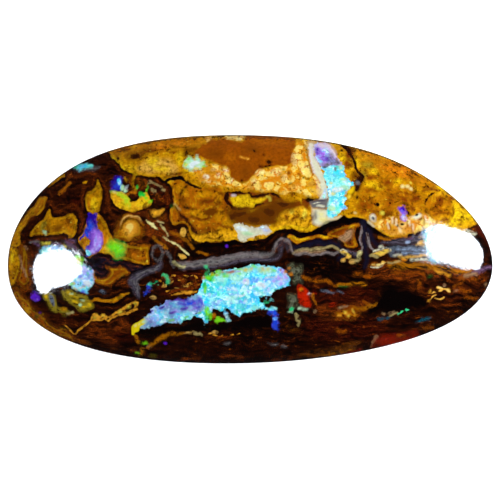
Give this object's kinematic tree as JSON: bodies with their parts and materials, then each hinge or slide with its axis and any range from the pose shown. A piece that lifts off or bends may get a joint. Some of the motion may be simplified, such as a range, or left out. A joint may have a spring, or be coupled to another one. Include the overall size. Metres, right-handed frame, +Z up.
{
  "type": "polished boulder opal",
  "caption": "Polished boulder opal cabochon: a long lopsided oval of brown ironstone with opal grown in it, a low glossy dome and a flat ground back.",
  "frame": {"origin": "middle of the flat ground back, under the middle of the stone", "axes": "+X along the stone's length towards its more pointed end, +Y across it towards its straighter, golden edge, +Z up through the dome"},
  "size_m": [0.0388, 0.0182, 0.0058],
  "materials": {
    "polished_ironstone_opal": "high polish on the dome, fine ground back; golden to dark brown ironstone with veins and patches of blue, green and violet opal"
  },
  "bodies": {
    "root": {"boulder_opal": "polished_ironstone_opal"}
  },
  "joints": []
}
